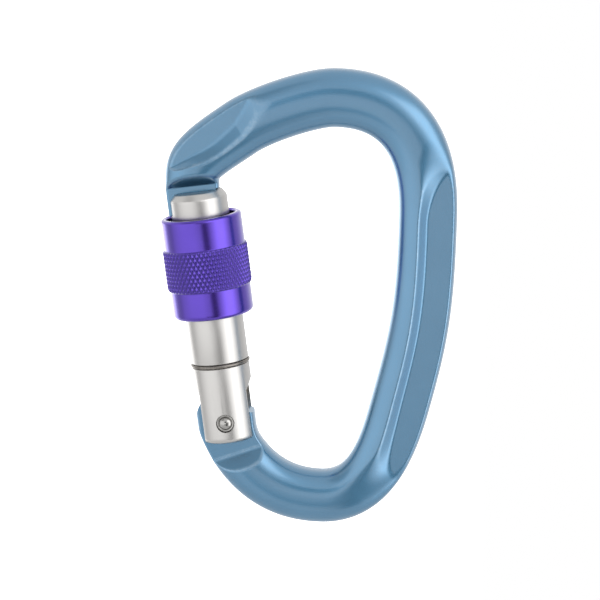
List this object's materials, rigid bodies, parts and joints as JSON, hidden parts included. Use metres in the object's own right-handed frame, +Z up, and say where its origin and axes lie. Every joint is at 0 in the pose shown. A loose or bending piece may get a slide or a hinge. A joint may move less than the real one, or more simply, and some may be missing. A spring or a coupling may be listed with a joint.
{
  "type": "locking carabiner",
  "caption": "Pear-shaped screw-locking carabiner with a forged anodised frame, sprung round gate and knurled locking sleeve.",
  "frame": {"origin": "the rope's seat at the top of the eye, on the inner edge of the top bow and in the middle of the thickness", "axes": "+Z up along the load axis, away from the hinge end; +X from the gate to the spine; +Y through the thickness, away from the side shown in the picture"},
  "size_m": [0.0654, 0.0188, 0.1021],
  "materials": {
    "frame_anodised": "satin light blue anodised",
    "gate_bare": "satin bare, turned",
    "sleeve_anodised": "bright purple anodised",
    "rivet_steel": "polished",
    "ring_steel": "dark drawn wire",
    "spring_steel": "drawn wire",
    "plunger_brass": "turned"
  },
  "bodies": {
    "frame": {"frame": "frame_anodised"},
    "gate": {"gate": "gate_bare", "hinge_rivet": "rivet_steel", "gate_spring": "spring_steel"},
    "ring": {"stop_ring": "ring_steel"},
    "sleeve": {"locking_sleeve": "sleeve_anodised"},
    "plunger": {"spring_plunger": "plunger_brass"}
  },
  "joints": [
    {"name": "gate_hinge", "type": "hinge", "parent": "frame", "child": "gate", "pos_m": [-0.02365, 0, -0.06567], "axis": [0, 1, 0], "range_deg": [0, 26], "stiffness_Nm_per_rad": 0.2, "springref_deg": -57.3},
    {"name": "sleeve_turn", "type": "hinge", "parent": "gate", "child": "ring", "pos_m": [-0.02365, 0, -0.06567], "axis": [-0.1261, 0, 0.992], "range_deg": [-1140, 672]},
    {"name": "sleeve_travel", "type": "slide", "parent": "ring", "child": "sleeve", "axis": [-0.1261, 0, 0.992], "range_m": [-0.0095, 0.0056]},
    {"name": "plunger_slide", "type": "slide", "parent": "gate", "child": "plunger", "axis": [-0.1261, 0, 0.992], "range_m": [0, 0.00074], "deforming": ["gate_spring"]}
  ],
  "couplings": [
    {"joint": "sleeve_travel", "follows": "sleeve_turn", "m_per_rad": 0.00047746},
    {"joint": "plunger_slide", "follows": "gate_hinge", "m_per_rad": 0.001614}
  ]
}
